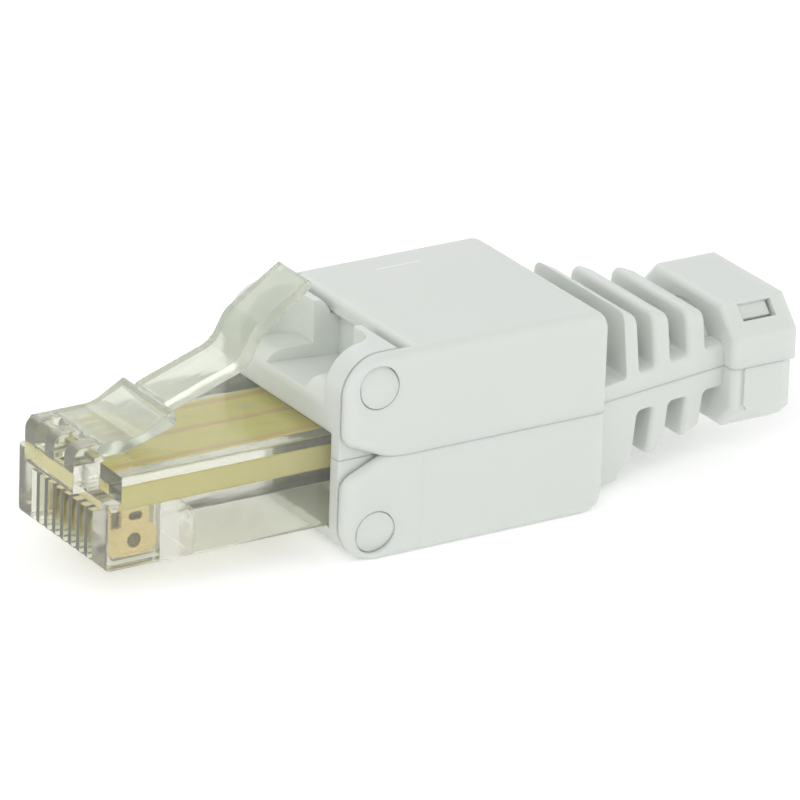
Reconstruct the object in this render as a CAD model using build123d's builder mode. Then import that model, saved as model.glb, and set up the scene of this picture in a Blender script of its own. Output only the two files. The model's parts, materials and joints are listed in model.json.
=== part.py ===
from build123d import *
from math import atan2, cos, hypot, radians, sin, tan
import os

# A field-fitted eight-way network plug: a clear mating nose with a spring latch, a circuit board
# held between two core halves, and two hinged covers whose tails form a ribbed cable boot.
# Lengths are in millimetres. Stations run back from the plug's front, heights rise from the seam
# between the covers, and widths are measured from the middle of the plug.

# Clearances
fit_gap = 0.03
running_gap = 0.05
slide_gap = 0.2
seam_gap = 0.012

# Covers
cover_width = 15.7
cover_height = 14.16
cover_front = 17.3
cover_length = 19.95
cheek_thickness = 0.85
roof_thickness = 1.08
back_wall = 1.0
roof_set_back = 5.1
roof_edge_radius = 0.4
brow_radius = 2.7
back_radius = 1.4
rim_radius = 0.8
chin_run = 2.9
chin_rise = 1.3
chin_radius = 1.2

# Pivots of the covers
pivot_set_back = 2.3
pivot_height = 5.0
pivot_radius = 1.42
pivot_ramp = 0.35

# Mating nose
nose_width = 11.68
nose_height = 6.5
nose_drop = 4.92
nose_low_radius = 0.45
nose_toe_radius = 0.4
nose_top_radius = 0.15
front_wall = 1.0
front_wall_height = 4.7
upper_block = 1.93
nose_socket_depth = 3.2
flange_set_back = 1.1
flange_length = 1.0
flange_depth = 0.5
hollow_front = 7.6
hollow_wall = 0.95
hollow_height = 2.98

# Latch and the legs that join it to the nose
latch_width = 6.3
latch_thickness = 0.92
leg_count = 3
leg_width = 1.2
leg_pitch = 2.5
leg_height = 1.55
leg_radius = 0.8
root_height = 6.2
hinge_station = 2.25
plate_length = 5.15
plate_flat = 2.65
plate_rise = 1.43
plate_under_flat = 1.35
plate_bend_radius = 2.5
plate_corner = 0.25
ear_depth = 1.18
lever_width = 3.64
lever_root = 0.9
lever_run = 5.35
lever_rise = 1.84
neck_run = 1.0
neck_rise = 1.93
tip_run = 4.05
tip_rise = 2.62
tip_thickness = 0.6
bend_radius = 2.0
tip_radius = 0.2

# Contacts
contact_count = 8
contact_pitch = 1.02
contact_thickness = 0.35
contact_slot = 0.6
contact_recess = 0.35
blade_front = 2.05
blade_length = 3.25
blade_height = 2.05
blade_corner = 0.6
blade_hole_radius = 0.5
stem_width = 0.7
stem_set_back = 0.55
neck_length = 2.0
neck_hole_length = 1.0
neck_hole_width = 0.56
neck_hole_drop = 0.6

# Circuit board
board_front = 2.4
board_overhang = 0.3
board_width = 10.0
board_nose_width = 7.75
board_thickness = 1.6
board_top = 0.32

# Core halves
core_length = 14.9
core_deck = 5.9
plate_thickness = 1.85
shelf_height = 4.18
shelf_length = 3.6
pocket_radius = 1.4
lip_radius = 1.2
scoop_width = 4.8
scoop_front_drop = 0.7
scoop_back_drop = 1.1
scoop_length = 5.6
peg_radius = 0.5
peg_height = 1.2
front_peg_set_back = 6.2
back_peg_inset = 1.2

# Insulation-displacement terminals, a row above the board and a row below
terminal_count = 4
terminal_pitch = 2.5
terminal_inset = 4.0
terminal_stagger = 1.2
terminal_thickness = 0.5
terminal_width = 1.9
terminal_crown = 4.9
terminal_leg = 0.6
fork_slot = 0.4
fork_depth = 2.2
fork_mouth = 1.0
mouth_depth = 0.5
channel_width = 1.3
channel_floor = 3.3
channel_length = 6.8
press_bar_width = 1.0
press_bar_length = 0.9
press_bar_drop = 1.3
press_bar_gap = 0.6

# Cable boot, its ribs set back from the covers; front sizes are at the covers, back at the end block
boot_length = 11.15
cable_radius = 3.05
sleeve_slack = 0.25
boot_front_width = 13.2
boot_back_width = 9.5
boot_corner = 0.8
boot_roof_front = 5.95
boot_roof_back = 4.05
boot_roof_draft = 9
boot_floor_front = 6.4
boot_floor_back = 4.35
boot_floor_draft = 8
spine_above_front = 1.0
spine_above_back = 1.5
spine_below_front = 1.5
spine_below_back = 1.6
rib_set_backs = (2.6, 5.15, 8.1)
rib_widths = (1.2, 1.4, 1.55)
rib_crest_fall = 0.4
rib_crest_radius = 0.35
rib_foot_radius = 0.3
first_block_drop = 6.68

# End block of the boot
end_length = 4.9
end_width = 11.7
end_height = 4.1
end_shoulder = 2.15
end_flat = 8.0
end_low_height = 4.5
end_low_shoulder = 2.95
end_low_flat = 8.6
end_front_radius = 0.45
end_back_run = 0.9
end_back_side_taper = 0.5
end_back_floor_taper = 0.15
window_set_back = 1.2
window_length = 2.6
window_width = 1.25
window_depth = 0.3
window_inset = 0.25
window_slit = 0.25
window_slit_depth = 0.9
groove_set_back = 0.8
groove_width = 0.3
groove_depth = 0.15
groove_foot_radius = 0.35

# Places worked out from the sizes above
cover_back = cover_front + cover_length
roof_front = cover_front + roof_set_back
pivot_station = cover_front + pivot_set_back
nose_back = cover_front + nose_socket_depth
flange_station = cover_front + flange_set_back
core_back = cover_front + core_length
board_back = core_back + board_overhang
rib_fronts = [cover_back + set_back for set_back in rib_set_backs]
end_front = cover_back + boot_length
plug_length = end_front + end_length
half_cover = cover_width / 2
half_height = cover_height / 2
cheek_inner = half_cover - cheek_thickness
roof_under = half_height - roof_thickness
front_x = -plug_length / 2
seam_z = half_height
seam = seam_gap / 2
core_seam = fit_gap / 2
half_nose = nose_width / 2
nose_under = -nose_drop
nose_top = nose_under + nose_height
front_wall_top = nose_under + front_wall_height
root_top = nose_under + root_height
leg_top = root_top + leg_height
hinge_height = leg_top - latch_thickness / 2
half_board = board_width / 2
half_board_nose = board_nose_width / 2
board_under = board_top - board_thickness
half_core = cheek_inner - slide_gap
core_crown = half_height - seam
sweep_radius = hypot(roof_front - pivot_station, roof_under - pivot_height) - slide_gap
stem_back = blade_front + blade_length - stem_set_back
blade_under = nose_under + contact_recess
contact_rows = [(i - (contact_count - 1) / 2) * contact_pitch for i in range(contact_count)]
terminal_rows = [(i - (terminal_count - 1) / 2) * terminal_pitch for i in range(terminal_count)]
wide = 2 * cover_width


def side(y=0.0, up=1):
    """Upright plane along the plug; its second axis points away from the seam."""
    return Plane(origin=(front_x, y, seam_z), x_dir=(1, 0, 0), z_dir=(0, -up, 0))


def station(s, up=1):
    """Plane across the plug at a station; its second axis points away from the seam."""
    return Plane(origin=(front_x + s, 0, seam_z), x_dir=(0, up, 0), z_dir=(1, 0, 0))


def sharp(*points):
    """Closed outline with sharp corners."""
    with BuildLine() as wire:
        Polyline(*points, close=True)
    return wire.line


def rounded(*corners):
    """Closed outline through (across, up, radius) corners, each rounded by its own radius."""
    with BuildLine() as wire:
        FilletPolyline(
            *[(across, rise) for across, rise, _ in corners],
            radius=[radius for _, _, radius in corners],
            close=True,
        )
    return wire.line


def block(stations, widths, heights, up=1, mode=Mode.ADD):
    """Rectangular block over a range of stations, of widths and of heights from the seam."""
    ranges = (stations, widths, heights)
    across = [high - low for low, high in ranges]
    middle = [(high + low) / 2 for low, high in ranges]
    with Locations((front_x + middle[0], middle[1], seam_z + up * middle[2])):
        Box(*across, mode=mode)


def prism(outline, width, middle=0.0, up=1, mode=Mode.ADD):
    """Outline seen from the side, given a width about a middle plane."""
    with BuildSketch(side(middle, up)) as profile:
        make_face(outline)
    extrude(profile.sketch, amount=width / 2, both=True, mode=mode)


def crosswise_rod(s, height, radius, y_low, y_high, up=1, mode=Mode.ADD):
    """Round rod across the plug between two widths."""
    with BuildSketch(side((y_low + y_high) / 2, up)) as profile:
        with Locations((s, height)):
            Circle(radius)
    extrude(profile.sketch, amount=(y_high - y_low) / 2, both=True, mode=mode)


def keep(name, part):
    """Label a finished piece and write it to its own file."""
    part.label = name
    export_step(part, f"parts/{name}.step")


def mitred_under_side(points, depths):
    """Underside of a bent strip: each point moved square to the strip by its own depth."""
    under = []
    for i, ((s, u), depth) in enumerate(zip(points, depths)):
        s_before, u_before = points[max(i - 1, 0)]
        s_after, u_after = points[min(i + 1, len(points) - 1)]
        slope_in = atan2(u - u_before, s - s_before) if i else None
        slope_out = atan2(u_after - u, s_after - s) if i < len(points) - 1 else None
        slope_in = slope_out if slope_in is None else slope_in
        slope_out = slope_in if slope_out is None else slope_out
        middle = (slope_in + slope_out) / 2
        reach = depth / cos((slope_out - slope_in) / 2)
        under.append((s + reach * sin(middle), u - reach * cos(middle)))
    return under


def make_nose():
    """Clear housing: board pocket, open contact slots, latch root and its three legs."""
    with BuildPart() as nose:
        with BuildSketch(side()):
            make_face(
                sharp(
                    (front_wall, nose_under),
                    (front_wall, front_wall_top),
                    (upper_block, front_wall_top),
                    (upper_block, nose_top),
                    (nose_back, nose_top),
                    (nose_back, nose_under),
                )
            )
        extrude(amount=half_nose, both=True)
        long_edges = nose.edges().filter_by(Axis.X).group_by(Axis.Z)
        fillet(long_edges[0], nose_low_radius)
        fillet(nose.edges().filter_by(Axis.X).group_by(Axis.Z)[-1], nose_top_radius)
        fillet(nose.edges().filter_by(Axis.Y).group_by(Axis.Z)[0].sort_by(Axis.X)[0], nose_toe_radius)

        root_width = leg_pitch * (leg_count - 1) + leg_width
        block((0, upper_block), (-root_width / 2, root_width / 2), (front_wall_top, root_top))
        for i in range(leg_count):
            leg = rounded(
                (0, front_wall_top, 0),
                (0, leg_top, leg_radius),
                (hinge_station, leg_top, 0),
                (hinge_station, nose_top - nose_top_radius, 0),
                (upper_block, nose_top - nose_top_radius, 0),
                (upper_block, front_wall_top, 0),
            )
            prism(leg, leg_width, (i - (leg_count - 1) / 2) * leg_pitch)
        seat_radius = latch_thickness / 2 + running_gap
        crosswise_rod(
            hinge_station, hinge_height, seat_radius, -half_nose, half_nose, mode=Mode.SUBTRACT
        )

        flange = half_nose + flange_depth
        block(
            (flange_station, flange_station + flange_length),
            (-flange, flange),
            (nose_under + nose_low_radius, nose_top - nose_top_radius),
        )
        block(
            (board_front - fit_gap, nose_back + fit_gap),
            (-half_board_nose - fit_gap, half_board_nose + fit_gap),
            (board_under - fit_gap, board_top + fit_gap),
            mode=Mode.SUBTRACT,
        )
        slot_back = blade_front + blade_length + slide_gap
        for y in contact_rows:
            block(
                (0, slot_back),
                (y - contact_slot / 2, y + contact_slot / 2),
                (nose_under - fit_gap, board_under - fit_gap),
                mode=Mode.SUBTRACT,
            )
        block(
            (hollow_front, nose_back + fit_gap),
            (hollow_wall - half_nose, half_nose - hollow_wall),
            (nose_under - fit_gap, nose_under + hollow_height),
            mode=Mode.SUBTRACT,
        )
    return nose.part


def make_latch():
    """Spring latch: round root, broad plate rising to two locking ears, and the press lever."""
    plate_end = hinge_station + plate_length
    plate_under = leg_top - latch_thickness
    plate_top_end = leg_top + plate_rise
    ridge = [(plate_end, plate_top_end)]
    for run, rise in ((lever_run, lever_rise), (neck_run, neck_rise), (tip_run, tip_rise)):
        ridge.append((ridge[-1][0] + run, ridge[-1][1] + rise))
    depths = (latch_thickness, latch_thickness, latch_thickness, tip_thickness)
    under = mitred_under_side(ridge, depths)
    plate_slope = plate_rise / (plate_length - plate_flat)
    root = (plate_end - lever_root, plate_top_end - lever_root * plate_slope - latch_thickness / 2)
    with BuildPart() as latch:
        plate = rounded(
            (hinge_station, plate_under, 0),
            (hinge_station, leg_top, 0),
            (hinge_station + plate_flat, leg_top, plate_bend_radius),
            (plate_end, plate_top_end, plate_corner),
            (plate_end, plate_top_end - ear_depth, plate_corner),
            (hinge_station + plate_under_flat, plate_under, plate_bend_radius),
        )
        prism(plate, latch_width)
        crosswise_rod(
            hinge_station, hinge_height, latch_thickness / 2, -latch_width / 2, latch_width / 2
        )
        lever = rounded(
            (*root, 0),
            (*ridge[0], 0),
            (*ridge[1], bend_radius),
            (*ridge[2], bend_radius),
            (*ridge[3], tip_radius),
            (*under[3], tip_radius),
            (*under[2], bend_radius),
            (*under[1], bend_radius),
            (*under[0], 0),
        )
        prism(lever, lever_width)
    return latch.part


def make_contact(y):
    """Stamped blade: round-cornered body and neck, each with a hole, and a stem through the board."""
    with BuildPart() as contact:
        with BuildSketch(side(y)):
            with Locations((blade_front + blade_length / 2, blade_under + blade_height / 2)):
                RectangleRounded(blade_length, blade_height, blade_corner)
            make_face(
                sharp(
                    (stem_back - stem_width, blade_under + blade_height / 2),
                    (stem_back - stem_width, board_top - running_gap),
                    (stem_back, board_top - running_gap),
                    (stem_back, blade_under + blade_height / 2),
                )
            )
            make_face(
                sharp(
                    (stem_back - neck_length, blade_under + blade_height / 2),
                    (stem_back - neck_length, board_under - fit_gap),
                    (stem_back, board_under - fit_gap),
                    (stem_back, blade_under + blade_height / 2),
                )
            )
            with Locations((blade_front + blade_length / 2, blade_under + blade_height / 2)):
                Circle(blade_hole_radius, mode=Mode.SUBTRACT)
            with Locations((stem_back - neck_length / 2, board_under - neck_hole_drop)):
                SlotOverall(neck_hole_length, neck_hole_width, mode=Mode.SUBTRACT)
        extrude(amount=contact_thickness / 2, both=True)
    return contact.part


def make_board():
    """Circuit board, narrower in the nose, slotted for each contact stem and terminal leg."""
    with BuildPart() as board:
        heights = (board_under, board_top)
        block((board_front, board_back), (-half_board_nose, half_board_nose), heights)
        block((nose_back + fit_gap, board_back), (-half_board, half_board), heights)
        for y in contact_rows:
            block(
                (stem_back - stem_width - fit_gap, stem_back + fit_gap),
                (y - contact_thickness / 2 - fit_gap, y + contact_thickness / 2 + fit_gap),
                (board_under - fit_gap, board_top + fit_gap),
                mode=Mode.SUBTRACT,
            )
        for up in (1, -1):
            front = terminal_front(up)
            for y in leg_rows():
                block(
                    (front - fit_gap, front + terminal_thickness + fit_gap),
                    (y - terminal_leg / 2 - fit_gap, y + terminal_leg / 2 + fit_gap),
                    (board_under - fit_gap, board_top + fit_gap),
                    mode=Mode.SUBTRACT,
                )
    return board.part


def terminal_front(up):
    """Front station of the terminals; the lower row stands behind the upper one."""
    inset = terminal_inset if up > 0 else terminal_inset - terminal_stagger
    return core_back - inset


def leg_rows():
    """Middles of the terminals' legs across the board, two legs to a terminal."""
    apart = (terminal_width - terminal_leg) / 2
    return [y + end * apart for y in terminal_rows for end in (-1, 1)]


def make_terminal(y, up):
    """Forked blade: a slot with a wide mouth grips one wire, and two legs stand in the board."""
    base = (board_top if up > 0 else -board_under) + fit_gap
    foot = -(board_under if up > 0 else -board_top) - running_gap
    half = terminal_width / 2
    with BuildPart() as terminal:
        with BuildSketch(station(terminal_front(up), up)):
            with Locations((up * y, (base + terminal_crown) / 2)):
                Rectangle(terminal_width, terminal_crown - base)
            for end in (-1, 1):
                with Locations((up * y + end * (half - terminal_leg / 2), (base - foot) / 2)):
                    Rectangle(terminal_leg, base + foot)
            with Locations((up * y, terminal_crown - fork_depth / 2)):
                Rectangle(fork_slot, fork_depth, mode=Mode.SUBTRACT)
            make_face(
                sharp(
                    (up * y - fork_mouth / 2, terminal_crown),
                    (up * y + fork_mouth / 2, terminal_crown),
                    (up * y, terminal_crown - mouth_depth),
                ),
                mode=Mode.SUBTRACT,
            )
        extrude(amount=terminal_thickness)
    return terminal.part


def core_body(up, front_profile_height):
    """Common shape of a core half: front block, deck, pivots, board bed and wire channels."""
    nose_reach = nose_top if up > 0 else nose_drop
    board_reach = board_top if up > 0 else -board_under
    front = terminal_front(up)
    with BuildPart() as core:
        tall = rounded(
            (cover_front, core_seam, 0),
            (cover_front, core_crown, brow_radius),
            (roof_front - slide_gap, core_crown, 0),
            (roof_front - slide_gap, core_seam, 0),
        )
        prism(tall, 2 * half_core, up=up)
        with BuildSketch(side(0, up)) as beyond_sweep:
            make_face(
                sharp(
                    (pivot_station, core_deck),
                    (pivot_station, core_crown + slide_gap),
                    (roof_front, core_crown + slide_gap),
                    (roof_front, core_deck),
                )
            )
            with Locations((pivot_station, pivot_height)):
                Circle(sweep_radius, mode=Mode.SUBTRACT)
        extrude(beyond_sweep.sketch, amount=half_core + slide_gap, both=True, mode=Mode.SUBTRACT)
        block((pivot_station, core_back), (-half_core, half_core), (core_seam, core_deck), up)

        if front_profile_height < core_crown:
            half_pocket = half_core - plate_thickness
            with BuildSketch(Plane.XY.offset(seam_z + front_profile_height)) as pocket:
                make_face(
                    rounded(
                        (front_x + cover_front - slide_gap, -half_pocket, 0),
                        (front_x + cover_front + shelf_length, -half_pocket, pocket_radius),
                        (front_x + cover_front + shelf_length, half_pocket, pocket_radius),
                        (front_x + cover_front - slide_gap, half_pocket, 0),
                    )
                )
            extrude(pocket.sketch, amount=half_height, mode=Mode.SUBTRACT)

        for end in (-1, 1):
            near, far = sorted((end * (half_core - plate_thickness), end * half_cover))
            crosswise_rod(pivot_station, pivot_height, pivot_radius, near, far, up)
            with BuildSketch(station(pivot_station - pivot_radius, up)) as ramp:
                make_face(
                    sharp(
                        (end * half_cover, pivot_height),
                        (end * (half_cover + slide_gap), pivot_height),
                        (end * (half_cover + slide_gap), pivot_height + pivot_radius),
                        (end * (half_cover - pivot_ramp), pivot_height + pivot_radius),
                    )
                )
            extrude(ramp.sketch, amount=2 * pivot_radius, mode=Mode.SUBTRACT)

        block(
            (cover_front - slide_gap, nose_back + fit_gap),
            (-half_nose - fit_gap, half_nose + fit_gap),
            (-fit_gap, nose_reach + fit_gap),
            up,
            Mode.SUBTRACT,
        )
        flange = half_nose + flange_depth + fit_gap
        block(
            (flange_station - fit_gap, flange_station + flange_length + fit_gap),
            (-flange, flange),
            (-fit_gap, nose_reach + fit_gap),
            up,
            Mode.SUBTRACT,
        )
        block(
            (nose_back, core_back + fit_gap),
            (-half_board - fit_gap, half_board + fit_gap),
            (-fit_gap, board_reach + fit_gap),
            up,
            Mode.SUBTRACT,
        )
        for y in terminal_rows:
            block(
                (core_back - channel_length, core_back + fit_gap),
                (y - channel_width / 2, y + channel_width / 2),
                (channel_floor, core_deck + fit_gap),
                up,
                Mode.SUBTRACT,
            )
            block(
                (front - fit_gap, front + terminal_thickness + fit_gap),
                (y - terminal_width / 2 - fit_gap, y + terminal_width / 2 + fit_gap),
                (-fit_gap, core_deck + fit_gap),
                up,
                Mode.SUBTRACT,
            )
    return core.part


def make_core_upper(body):
    """Upper core half: latch pocket with a scooped floor, and sockets for the locating pegs."""
    with BuildPart() as core:
        add(body)
        lip = core.edges().filter_by(Axis.Y).sort_by_distance(
            (front_x + cover_front, 0, seam_z + shelf_height)
        )[0]
        fillet(lip, lip_radius)
        scoop = sharp(
            (cover_front - slide_gap, shelf_height - scoop_front_drop),
            (cover_front - slide_gap, core_crown + slide_gap),
            (cover_front + scoop_length, core_crown + slide_gap),
            (cover_front + scoop_length, shelf_height - scoop_back_drop),
        )
        prism(scoop, scoop_width, mode=Mode.SUBTRACT)
        with BuildSketch(Plane.XY.offset(seam_z)):
            with Locations(*peg_places()):
                Circle(peg_radius + running_gap)
        extrude(amount=peg_height + running_gap, mode=Mode.SUBTRACT)
    return core.part


def make_core_lower(body):
    """Lower core half, with the locating pegs."""
    with BuildPart() as core:
        add(body)
        with BuildSketch(Plane.XY.offset(seam_z - peg_height)):
            with Locations(*peg_places()):
                Circle(peg_radius)
        extrude(amount=2 * peg_height)
    return core.part


def peg_places():
    """Places of the locating pegs, in the walls beside the board."""
    y = (half_board + fit_gap + half_core) / 2
    stations = (cover_front + front_peg_set_back, core_back - back_peg_inset)
    return [(front_x + s, end * y) for s in stations for end in (-1, 1)]


def make_shell(up):
    """One hinged cover without its boot: rounded casing, hollow inside, with pivot holes."""
    with BuildPart() as shell:
        with BuildSketch(side(0, up)):
            make_face(
                rounded(
                    (cover_front + chin_run, seam, 0),
                    (cover_front, seam + chin_rise, chin_radius),
                    (cover_front, half_height, brow_radius),
                    (cover_back, half_height, back_radius),
                    (cover_back, seam, 0),
                )
            )
        extrude(amount=half_cover, both=True)
        seam_face = shell.faces().filter_by(Axis.Z).sort_by(Axis.Z)[0 if up > 0 else -1]
        cheeks = shell.faces().filter_by(Axis.Y)
        rims = ShapeList(edge for cheek in cheeks for edge in cheek.edges()) - seam_face.edges()
        fillet(rims, rim_radius)
        block(
            (cover_front - slide_gap, cover_back - back_wall),
            (-cheek_inner, cheek_inner),
            (-slide_gap, roof_under),
            up,
            Mode.SUBTRACT,
        )
        block(
            (cover_front - slide_gap, roof_front),
            (-cheek_inner, cheek_inner),
            (-slide_gap, half_height + slide_gap),
            up,
            Mode.SUBTRACT,
        )
        roof_edge = shell.edges().filter_by(Axis.Y).sort_by_distance(
            (front_x + roof_front, 0, seam_z + up * half_height)
        )[0]
        fillet(roof_edge, roof_edge_radius)
        crosswise_rod(
            pivot_station,
            pivot_height,
            pivot_radius + running_gap,
            -wide,
            wide,
            up,
            Mode.SUBTRACT,
        )
        front = terminal_front(up)
        for y in terminal_rows:
            for bar in (
                front - press_bar_gap - press_bar_length,
                front + terminal_thickness + press_bar_gap,
            ):
                block(
                    (bar, bar + press_bar_length),
                    (y - press_bar_width / 2, y + press_bar_width / 2),
                    (roof_under - press_bar_drop, roof_under + fit_gap),
                    up,
                )
    return shell.part


def along_boot(s, front_size, back_size):
    """Size at a station of the boot that changes evenly between its two ends."""
    return front_size + (back_size - front_size) * (s - cover_back) / boot_length


def rib_crests(front_height, back_height):
    """Side profile of the ribs' crests, each falling towards its back."""
    points = []
    for start, width in zip(rib_fronts, rib_widths):
        back_crest = along_boot(start + width, front_height, back_height) - rib_crest_fall
        points.append((start, along_boot(start, front_height, back_height)))
        points.append((start + width, back_crest))
    return points


def make_boot(up, crest, spine, draft, first_slot):
    """Half of the boot: a tapering sleeve cut by slots into ribs that side spines join."""
    front = cover_back - back_wall / 2
    back = end_front + end_length / 2
    slot_fronts = [cover_back] + [start + width for start, width in zip(rib_fronts, rib_widths)]
    slot_backs = [*rib_fronts, back]
    taper = (boot_front_width - boot_back_width) / 2 / boot_length
    with BuildPart() as boot:
        prism(sharp((front, seam), *crest, (back, seam)), wide, up=up)
        for end in (-1, 1):
            flank = Plane(
                origin=(front_x + cover_back, end * boot_front_width / 2, seam_z),
                z_dir=(taper, end, up * tan(radians(draft))),
            )
            split(bisect_by=flank, keep=Keep.BOTTOM)
        for start, stop in list(zip(slot_fronts, slot_backs))[first_slot:]:
            slot = rounded(
                (start, along_boot(start, *spine), rib_foot_radius),
                (stop, along_boot(stop, *spine), rib_foot_radius),
                (stop, wide, 0),
                (start, wide, 0),
            )
            prism(slot, 2 * wide, up=up, mode=Mode.SUBTRACT)
        lengthwise = [
            edge
            for edge in boot.edges().filter_by(lambda edge: abs(edge.tangent_at(0.5).X) > 0.5)
            if up * (edge.center().Z - seam_z) > boot_floor_back / 2
        ]
        fillet(lengthwise, boot_corner)
        for start, width in zip(rib_fronts, rib_widths):
            crests = [
                edge
                for edge in boot.edges().filter_by(Axis.Y)
                if abs(edge.center().X - front_x - start - width) < fit_gap
                and up * (edge.center().Z - seam_z) > boot_floor_back / 2
            ]
            fillet(crests, rib_crest_radius)
    return boot.part


def make_end_block(up, height, shoulder, flat_width):
    """Half of the end block, with sloping shoulders and rounded front edges."""
    half_end = end_width / 2
    half_flat = flat_width / 2
    with BuildPart() as end_block:
        with BuildSketch(station(end_front, up)):
            make_face(
                sharp(
                    (-half_end, seam),
                    (-half_end, shoulder),
                    (-half_flat, height),
                    (half_flat, height),
                    (half_end, shoulder),
                    (half_end, seam),
                )
            )
        extrude(amount=end_length)
        front_face = end_block.faces().filter_by(Axis.X).sort_by(Axis.X)[0]
        seam_edge = front_face.edges().sort_by(Axis.Z)[0 if up > 0 else -1]
        fillet(front_face.edges() - ShapeList([seam_edge]), end_front_radius)
    return end_block.part


def cable_channel():
    """Round way for the cable: slack through the covers and ribs, gripped by the end block."""
    for start, stop, radius in (
        (cover_back - back_wall - slide_gap, end_front, cable_radius + sleeve_slack),
        (end_front, plug_length + slide_gap, cable_radius),
    ):
        with BuildSketch(station(start)) as passage:
            Circle(radius)
        extrude(passage.sketch, amount=stop - start, mode=Mode.SUBTRACT)


def make_upper_cover():
    """Upper cover and boot half, with a snap window in each shoulder of the end block."""
    shell = make_shell(1)
    front = cover_back - back_wall / 2
    back = end_front + end_length / 2
    roof = (boot_roof_front, boot_roof_back)
    crest = [(front, boot_roof_front), *rib_crests(*roof), (back, boot_roof_back)]
    boot = make_boot(1, crest, (spine_above_front, spine_above_back), boot_roof_draft, 0)
    half_end = end_width / 2
    half_flat = end_flat / 2
    slope = atan2(end_height - end_shoulder, half_end - half_flat)
    with BuildPart() as cover:
        add(shell)
        add(boot)
        add(make_end_block(1, end_height, end_shoulder, end_flat))
        for end in (-1, 1):
            window_middle = window_inset + window_width / 2
            shoulder = Plane(
                origin=(
                    front_x + end_front + window_set_back + window_length / 2,
                    end * (half_flat + window_middle * cos(slope)),
                    seam_z + end_height - window_middle * sin(slope),
                ),
                x_dir=(1, 0, 0),
                z_dir=(0, end * sin(slope), cos(slope)),
            )
            with BuildSketch(shoulder) as window:
                Rectangle(window_length, window_width)
            extrude(window.sketch, amount=-window_depth, mode=Mode.SUBTRACT)
            with BuildSketch(shoulder) as slit:
                with Locations((0, end * (window_width - window_slit) / 2)):
                    Rectangle(window_length, window_slit)
                with Locations(((window_length - window_slit) / 2, 0)):
                    Rectangle(window_slit, window_width)
            extrude(slit.sketch, amount=-window_slit_depth, mode=Mode.SUBTRACT)
        cable_channel()
    return cover.part


def make_lower_cover():
    """Lower cover and boot half; its end block has a witness groove and a tapered back."""
    shell = make_shell(-1)
    front = cover_back - back_wall / 2
    back = end_front + end_length / 2
    floor = (boot_floor_front, boot_floor_back)
    first_block = [(front, first_block_drop), (rib_fronts[0], first_block_drop)]
    crest = [*first_block, *rib_crests(*floor), (back, boot_floor_back)]
    boot = make_boot(-1, crest, (spine_below_front, spine_below_back), boot_floor_draft, 1)
    half_end = end_width / 2
    taper_start = plug_length - end_back_run
    with BuildPart() as cover:
        add(shell)
        add(boot)
        add(make_end_block(-1, end_low_height, end_low_shoulder, end_low_flat))
        tapered_floor = sharp(
            (taper_start, end_low_height),
            (plug_length, end_low_height - end_back_floor_taper),
            (plug_length, end_low_height),
        )
        prism(tapered_floor, end_width, up=-1, mode=Mode.SUBTRACT)
        with BuildSketch(Plane.XY.offset(seam_z)) as tapered_sides:
            for end in (-1, 1):
                make_face(
                    sharp(
                        (front_x + taper_start, end * half_end),
                        (front_x + plug_length, end * (half_end - end_back_side_taper)),
                        (front_x + plug_length, end * half_end),
                    )
                )
        extrude(tapered_sides.sketch, amount=-end_low_height, mode=Mode.SUBTRACT)
        groove = end_front + groove_set_back
        for end in (-1, 1):
            near, far = sorted((end * (half_end - groove_depth), end * half_end))
            block(
                (groove - groove_width / 2, groove + groove_width / 2),
                (near, far),
                (0, end_low_shoulder),
                -1,
                Mode.SUBTRACT,
            )
            crosswise_rod(
                groove, end_low_shoulder, groove_foot_radius, near, far, -1, Mode.SUBTRACT
            )
        cable_channel()
    return cover.part


os.makedirs("parts", exist_ok=True)
keep("plug_nose", make_nose())
keep("latch", make_latch())
for number, row in enumerate(contact_rows, start=1):
    keep(f"contact_{number}", make_contact(row))
keep("circuit_board", make_board())
for number, row in enumerate(terminal_rows, start=1):
    keep(f"idc_terminal_upper_{number}", make_terminal(row, 1))
    keep(f"idc_terminal_lower_{number}", make_terminal(row, -1))
keep("core_upper", make_core_upper(core_body(1, shelf_height)))
keep("core_lower", make_core_lower(core_body(-1, core_crown)))
keep("upper_cover", make_upper_cover())
keep("lower_cover", make_lower_cover())
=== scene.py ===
import json
from math import cos, prod, radians, sin

import bpy
from mathutils import Matrix, Vector


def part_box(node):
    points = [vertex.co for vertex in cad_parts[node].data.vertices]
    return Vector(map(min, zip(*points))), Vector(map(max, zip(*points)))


# The looks of a tool-free network plug: clear nose and latch over gilt contacts and a lacquered
# circuit board, and satin white covers. Lengths are in metres, unless a name or a comment says
# millimetres.

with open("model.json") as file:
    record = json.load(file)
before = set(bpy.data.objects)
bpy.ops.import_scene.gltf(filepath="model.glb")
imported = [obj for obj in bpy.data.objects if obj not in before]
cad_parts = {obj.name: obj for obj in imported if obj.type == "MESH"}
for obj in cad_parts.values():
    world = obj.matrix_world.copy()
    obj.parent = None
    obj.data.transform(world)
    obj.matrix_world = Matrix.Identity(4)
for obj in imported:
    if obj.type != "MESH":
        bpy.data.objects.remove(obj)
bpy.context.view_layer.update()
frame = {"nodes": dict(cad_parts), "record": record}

MM = 0.001

# Camera, a long lens above the plug's near front corner
VIEW_AZIMUTH = radians(32.771)
VIEW_ELEVATION = radians(22.491)
VIEW_ROLL = radians(2.038)
VIEW_DISTANCE = 494.72 * MM
VIEW_AIM = Vector((-0.52, -0.08, 7.165)) * MM
NEAREST_SEEN = 10 * MM
LENS_MM = 343.0
SENSOR_MM = 36.0

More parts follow.
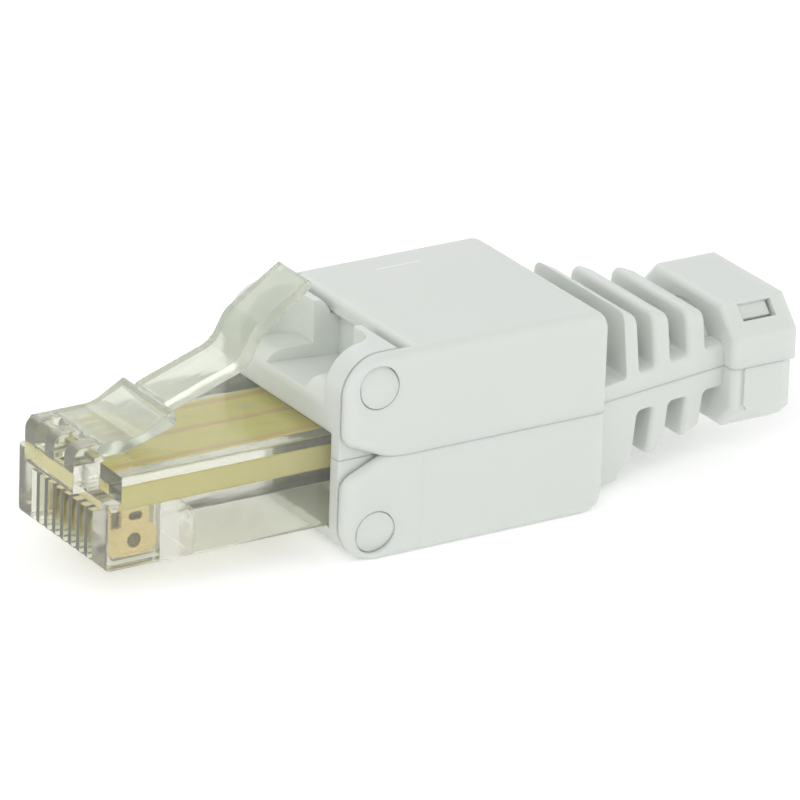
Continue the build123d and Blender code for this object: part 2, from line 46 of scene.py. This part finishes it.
# Colours as linear red, green and blue
WHITE_PLASTIC = (0.72, 0.745, 0.705)
WHITE_PLASTIC_COOL = (0.695, 0.73, 0.70)
# Painted highlight: the lighter colour of the roof's mould line
WHITE_PAINTED_HIGHLIGHT = (0.86, 0.88, 0.85)
CLEAR_PLASTIC = (0.89, 0.895, 0.81)
CLEAR_PLASTIC_DEEP = (0.79, 0.80, 0.70)
CLEAR_SHADE = (0.92, 0.92, 0.86)
LATCH_PLASTIC = (0.76, 0.79, 0.71)
LATCH_PLASTIC_DEEP = (0.66, 0.69, 0.59)
GILT = (1.0, 0.74, 0.36)
GILT_PALE = (1.0, 0.87, 0.56)
TIN = (0.66, 0.66, 0.63)
TIN_DARK = (0.45, 0.45, 0.43)
LACQUER = (0.72, 0.59, 0.02)
LACQUER_DEEP = (0.62, 0.58, 0.02)
TRACE = (0.58, 0.32, 0.03)
TRACE_GAP = (0.72, 0.54, 0.10)
VIA = (0.42, 0.42, 0.20)
LAMINATE_EDGE = (0.82, 0.74, 0.34)
FLOOR_WHITE = (0.93, 0.93, 0.93)
FLOOR_PALE = (0.95, 0.95, 0.95)
SKY_WHITE = (1.0, 1.0, 1.0)

# Share of the light that passes through each clear moulding
NOSE_CLEARNESS = 0.92
LATCH_CLEARNESS = 0.8

# Faint mould marks on the covers, in millimetres: (middle, width) along x, y and z. The roof's line is a
# painted highlight, lighter in colour; the cheek's is a bump.
ROOF_HIGHLIGHT_LINE = ((2.45, 3.4), (5.3, 0.12), (14.16, 0.4))
CHEEK_MARK = ((-3.55, 0.1), (-7.85, 0.2), (3.4, 6.4))
MARK_EDGE = 0.05
CHEEK_MARK_TO_GRAIN = 3

# Copper on the board, in millimetres along x and y
TRACE_ROWS = (-3.3, 0.05, 3.2)
TRACE_WIDTH = 0.5
TRACE_EDGE = 0.12
TRACE_GAP_WIDTH = 0.16
TRACE_GAP_EDGE = 0.1
VIA_PLACE = (-11.35, 1.5)
VIA_RADII = (0.6, 0.35)

# Lacquer on the board's faces, in millimetres
LACQUER_DEPTH = 0.06
LACQUER_EDGE = 0.05

# How strongly the copper's marks show through the lacquer, and how soft the via's edge is
TRACE_GAP_SHARE = 0.7
VIA_SHARE = 0.6
VIA_SOFTNESS = 0.5

# Studio; a lamp is its name, its place, the side of its square and its power in watts
FLOOR_REACH = 2.5
FLOOR_GLOW = 0.25
SKY_LIGHT = 0.66
SKY_SEEN = 1
LAMPS = (
    ("key_lamp", (-0.45, -0.55, 0.60), 0.5, 1.6),
    ("fill_lamp", (0.60, -0.40, 0.35), 0.6, 0.85),
    ("front_lamp", (-0.80, 0.05, 0.28), 0.4, 0.9),
    ("back_lamp", (0.10, 0.60, 0.50), 0.5, 0.8),
)

# Samples that round an edge in the shading
ROUNDING_SAMPLES = 6


class Value:
    """A number that changes over a surface; arithmetic on it adds Math nodes to its finish."""

    def __init__(self, finish, socket):
        self.finish = finish
        self.socket = socket

    def __add__(self, other):
        return self.finish.math("ADD", self, other)

    __radd__ = __add__

    def __sub__(self, other):
        return self.finish.math("SUBTRACT", self, other)

    def __rsub__(self, other):
        return self.finish.math("SUBTRACT", other, self)

    def __mul__(self, other):
        return self.finish.math("MULTIPLY", self, other)

    __rmul__ = __mul__

    def __abs__(self):
        return self.finish.math("ABSOLUTE", self)


class Finish:
    """The nodes of a material or of the world in the making, with coordinates in millimetres."""

    def __init__(self, owner):
        owner.use_nodes = True
        self.owner = owner
        self.tree = owner.node_tree
        self.tree.nodes.clear()
        coordinates = self.node("ShaderNodeTexCoord")
        self.place = self.node(
            "ShaderNodeVectorMath",
            {"operation": "SCALE"},
            {"Vector": coordinates.outputs["Object"], "Scale": 1 / MM},
        ).outputs["Vector"]
        axes = self.node("ShaderNodeSeparateXYZ", sockets={"Vector": self.place})
        self.x, self.y, self.z = (Value(self, axes.outputs[axis]) for axis in "XYZ")

    def node(self, kind, settings=None, sockets=None):
        """Add a node: its settings are set first, then the values or links of its sockets."""
        node = self.tree.nodes.new(kind)
        for name, setting in (settings or {}).items():
            setattr(node, name, setting)
        for name, value in (sockets or {}).items():
            if isinstance(value, Value):
                value = value.socket
            if isinstance(value, bpy.types.NodeSocket):
                self.tree.links.new(value, node.inputs[name])
            else:
                node.inputs[name].default_value = value
        return node

    def math(self, operation, *terms, clamp=False):
        """Value that a Math node works out from its terms."""
        settings = {"operation": operation, "use_clamp": clamp}
        node = self.node("ShaderNodeMath", settings, dict(enumerate(terms)))
        return Value(self, node.outputs["Value"])

    def noise(self, per_mm, detail=3.0, stretch=None):
        """Smooth random value about 0.5, with so many waves to a millimetre."""
        place = self.place
        if stretch:
            place = self.node(
                "ShaderNodeVectorMath", {"operation": "MULTIPLY"}, {0: place, 1: stretch}
            ).outputs["Vector"]
        sockets = {"Vector": place, "Scale": per_mm, "Detail": detail}
        return Value(self, self.node("ShaderNodeTexNoise", None, sockets).outputs["Fac"])

    def fade(self, inside, soft):
        """0 to 1 across a soft edge, and half where inside is 0."""
        return self.math("MULTIPLY_ADD", inside, 1 / soft, 0.5, clamp=True)

    def band(self, value, middle, width, soft):
        """1 in a band of that width about its middle, fading to 0 over a soft edge."""
        return self.fade(width / 2 - abs(value - middle), soft)

    def mark(self, ranges):
        """1 inside a small box of (middle, width) ranges along x, y and z."""
        sides = zip((self.x, self.y, self.z), ranges)
        return prod(self.band(axis, middle, width, MARK_EDGE) for axis, (middle, width) in sides)

    def spot(self, middle, radii, soft):
        """1 inside an ellipse seen from above, fading to 0 across its edge."""
        along = (self.x - middle[0]) * (1 / radii[0])
        across = (self.y - middle[1]) * (1 / radii[1])
        return self.fade(1 - (along * along + across * across), soft)

    def spread(self, share, low, high):
        """Number that goes from low to high as share goes from 0 to 1."""
        return low + (high - low) * share

    def blend(self, share, first, second):
        """Colour that goes from first to second as share goes from 0 to 1."""
        pair = [rgba(colour) if isinstance(colour, tuple) else colour for colour in (first, second)]
        node = self.node(
            "ShaderNodeMix",
            {"data_type": "RGBA"},
            {"Factor": share, "A": pair[0], "B": pair[1]},
        )
        return node.outputs["Result"]

    def relief(self, height, depth_mm, round_mm=0.0):
        """Surface direction under a height pattern, with edges rounded where asked."""
        sockets = {"Height": height, "Distance": depth_mm * MM}
        if round_mm:
            rounding = self.node(
                "ShaderNodeBevel", {"samples": ROUNDING_SAMPLES}, {"Radius": round_mm * MM}
            )
            sockets["Normal"] = rounding.outputs["Normal"]
        return self.node("ShaderNodeBump", None, sockets).outputs["Normal"]

    def shade(self, **sockets):
        """Principled shader; a name's underscores stand for spaces."""
        named = {name.replace("_", " "): value for name, value in sockets.items()}
        return self.node("ShaderNodeBsdfPrincipled", None, named).outputs["BSDF"]

    def done(self, shader):
        """Give the shader to the material or the world, which is handed back."""
        kind = "World" if isinstance(self.owner, bpy.types.World) else "Material"
        self.node(f"ShaderNodeOutput{kind}", None, {"Surface": shader})
        return self.owner


def rgba(colour):
    """Opaque colour for a socket."""
    return (*colour, 1.0)


def white_plastic(name):
    """Satin moulded white plastic with a fine spark-eroded grain, soft edges and a painted highlight line
    along the roof.
    """
    finish = Finish(bpy.data.materials.new(name))
    cloud = finish.noise(per_mm=0.18, detail=2.0)
    grain = finish.noise(per_mm=9.0, detail=2.0)
    sheen = finish.noise(per_mm=1.1)
    colour = finish.blend(cloud, WHITE_PLASTIC, WHITE_PLASTIC_COOL)
    height = grain + CHEEK_MARK_TO_GRAIN * finish.mark(CHEEK_MARK)
    shader = finish.shade(
        # The roof's mould line is painted lighter, a painted highlight in the base colour
        Base_Color=finish.blend(finish.mark(ROOF_HIGHLIGHT_LINE), colour, WHITE_PAINTED_HIGHLIGHT),
        Roughness=finish.spread(sheen, 0.36, 0.52),
        IOR=1.49,
        Subsurface_Weight=0.3,
        Subsurface_Radius=(1.0, 0.95, 0.9),
        Subsurface_Scale=1.0 * MM,
        Normal=finish.relief(height, depth_mm=0.006, round_mm=0.12),
    )
    return finish.done(shader)


def clear_plastic(name, pale, deep, clearness):
    """Clear polycarbonate, faintly wavy from moulding; lamps reach what lies under it."""
    finish = Finish(bpy.data.materials.new(name))
    flow = finish.noise(per_mm=0.35, stretch=(0.5, 1.0, 1.6))
    haze = finish.noise(per_mm=1.6, detail=4.0)
    plastic = finish.shade(
        Base_Color=finish.blend(haze, pale, deep),
        Roughness=finish.spread(haze, 0.05, 0.15),
        IOR=1.45,
        Transmission_Weight=clearness,
        Normal=finish.relief(flow, depth_mm=0.05, round_mm=0.1),
    )
    passing = finish.node("ShaderNodeBsdfTransparent", None, {"Color": rgba(CLEAR_SHADE)})
    path = finish.node("ShaderNodeLightPath")
    mixed = finish.node(
        "ShaderNodeMixShader",
        None,
        {"Fac": path.outputs["Is Shadow Ray"], 1: plastic, 2: passing.outputs["BSDF"]},
    )
    return finish.done(mixed.outputs["Shader"])


def gold_plate(name):
    """Bright gold plate with fine lengthwise rolling marks."""
    finish = Finish(bpy.data.materials.new(name))
    marks = finish.noise(per_mm=3.0, stretch=(0.4, 1.0, 4.0))
    tone = finish.noise(per_mm=0.9, detail=2.0)
    shader = finish.shade(
        Base_Color=finish.blend(tone, GILT, GILT_PALE),
        Metallic=1.0,
        Roughness=finish.spread(marks, 0.16, 0.34),
        Normal=finish.relief(marks, depth_mm=0.008, round_mm=0.05),
    )
    return finish.done(shader)


def tin_plate(name):
    """Dull tin plate, mottled by its crystals."""
    finish = Finish(bpy.data.materials.new(name))
    mottle = finish.noise(per_mm=2.2)
    shader = finish.shade(
        Base_Color=finish.blend(mottle, TIN, TIN_DARK),
        Metallic=1.0,
        Roughness=finish.spread(mottle, 0.3, 0.5),
        Normal=finish.relief(mottle, depth_mm=0.01, round_mm=0.04),
    )
    return finish.done(shader)


def board_laminate(name):
    """Olive-yellow lacquer over lengthwise copper traces, with bare laminate at the board's edges."""
    finish = Finish(bpy.data.materials.new(name))
    weave = finish.noise(per_mm=4.0, detail=2.0, stretch=(1.0, 3.0, 1.0))
    cloud = finish.noise(per_mm=0.3, detail=2.0)
    traces = sum(finish.band(finish.y, row, TRACE_WIDTH, TRACE_EDGE) for row in TRACE_ROWS)
    gaps = sum(finish.band(finish.y, row, TRACE_GAP_WIDTH, TRACE_GAP_EDGE) for row in TRACE_ROWS)
    via = finish.spot(VIA_PLACE, VIA_RADII, VIA_SOFTNESS)
    low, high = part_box("circuit_board")
    thickness = (high.z - low.z) / MM
    halfway = (high.z + low.z) / 2 / MM
    bare = finish.band(finish.z, halfway, thickness - 2 * LACQUER_DEPTH, LACQUER_EDGE)
    colour = finish.blend(cloud, LACQUER, LACQUER_DEEP)
    colour = finish.blend(traces, colour, TRACE)
    colour = finish.blend(TRACE_GAP_SHARE * gaps, colour, TRACE_GAP)
    colour = finish.blend(VIA_SHARE * via, colour, VIA)
    colour = finish.blend(bare, colour, LAMINATE_EDGE)
    shader = finish.shade(
        Base_Color=colour,
        Roughness=finish.spread(weave, 0.34, 0.54),
        Specular_IOR_Level=0.1,
        Normal=finish.relief(weave + traces, depth_mm=0.02),
    )
    return finish.done(shader)


def dress_nodes():
    """Give every carried-over solid the finish of its material slot, and the latch its own."""
    nose = clear_plastic("clear_polycarbonate", CLEAR_PLASTIC, CLEAR_PLASTIC_DEEP, NOSE_CLEARNESS)
    latch = clear_plastic("hazy_polycarbonate", LATCH_PLASTIC, LATCH_PLASTIC_DEEP, LATCH_CLEARNESS)
    finishes = {
        "clear_plastic": nose,
        "white_plastic": white_plastic("satin_white_plastic"),
        "board_laminate": board_laminate("lacquered_board"),
        "gold_plate": gold_plate("gilt_contact"),
        "tin_plate": tin_plate("tinned_bronze"),
    }
    for subpart in frame["record"]["subparts"]:
        name = subpart["node"]
        finish = latch if name == "latch" else finishes[subpart["material_slot"]]
        for slot in frame["nodes"][name].material_slots:
            slot.material = finish


def make_camera():
    """Place the camera by its bearing, height and roll about the aim point."""
    forward = Vector(
        (
            sin(VIEW_AZIMUTH) * cos(VIEW_ELEVATION),
            cos(VIEW_AZIMUTH) * cos(VIEW_ELEVATION),
            -sin(VIEW_ELEVATION),
        )
    )
    data = bpy.data.cameras.new("camera")
    data.lens = LENS_MM
    data.sensor_width = SENSOR_MM
    data.clip_start = NEAREST_SEEN
    camera = bpy.data.objects.new("camera", data)
    facing = forward.to_track_quat("-Z", "Y").to_matrix().to_4x4()
    turn = facing @ Matrix.Rotation(VIEW_ROLL, 4, "Z")
    camera.matrix_world = Matrix.Translation(VIEW_AIM - VIEW_DISTANCE * forward) @ turn
    bpy.context.scene.collection.objects.link(camera)
    bpy.context.scene.camera = camera


def make_floor():
    """Pale matte floor with a slight glow, faintly uneven in tone."""
    finish = Finish(bpy.data.materials.new("pale_floor"))
    tone = finish.blend(finish.noise(per_mm=0.05, detail=2.0), FLOOR_WHITE, FLOOR_PALE)
    matte = finish.node("ShaderNodeBsdfDiffuse", None, {"Color": rgba(FLOOR_WHITE), "Roughness": 0.6})
    glow = finish.node("ShaderNodeEmission", None, {"Color": tone, "Strength": FLOOR_GLOW})
    both = finish.node(
        "ShaderNodeAddShader", None, {0: matte.outputs["BSDF"], 1: glow.outputs["Emission"]}
    )
    turns = ((-1, -1), (1, -1), (1, 1), (-1, 1))
    corners = [(x * FLOOR_REACH, y * FLOOR_REACH, 0) for x, y in turns]
    mesh = bpy.data.meshes.new("floor")
    mesh.from_pydata(corners, [], [(0, 1, 2, 3)])
    mesh.materials.append(finish.done(both.outputs["Shader"]))
    floor = bpy.data.objects.new("floor", mesh)
    bpy.context.scene.collection.objects.link(floor)


def make_sky():
    """Surroundings that light the plug softly, and are white to the camera, in gloss and through glass."""
    sky = Finish(bpy.data.worlds.new("surroundings"))
    path = sky.node("ShaderNodeLightPath")
    seen = Value(sky, path.outputs["Is Camera Ray"]) + Value(sky, path.outputs["Is Glossy Ray"])
    seen = sky.math("ADD", seen, path.outputs["Is Transmission Ray"], clamp=True)
    strength = sky.spread(seen, SKY_LIGHT, SKY_SEEN)
    backdrop = sky.node("ShaderNodeBackground", None, {"Color": rgba(SKY_WHITE), "Strength": strength})
    bpy.context.scene.world = sky.done(backdrop.outputs["Background"])


def make_lamp(name, place, size, power):
    """Soft square lamp that faces the plug."""
    data = bpy.data.lights.new(name, "AREA")
    data.shape = "SQUARE"
    data.size = size
    data.energy = power
    lamp = bpy.data.objects.new(name, data)
    lamp.location = place
    lamp.rotation_euler = (VIEW_AIM - Vector(place)).to_track_quat("-Z", "Y").to_euler()
    bpy.context.scene.collection.objects.link(lamp)


make_camera()
make_floor()
make_sky()
for lamp in LAMPS:
    make_lamp(*lamp)
dress_nodes()
bpy.context.scene.view_settings.view_transform = "Standard"
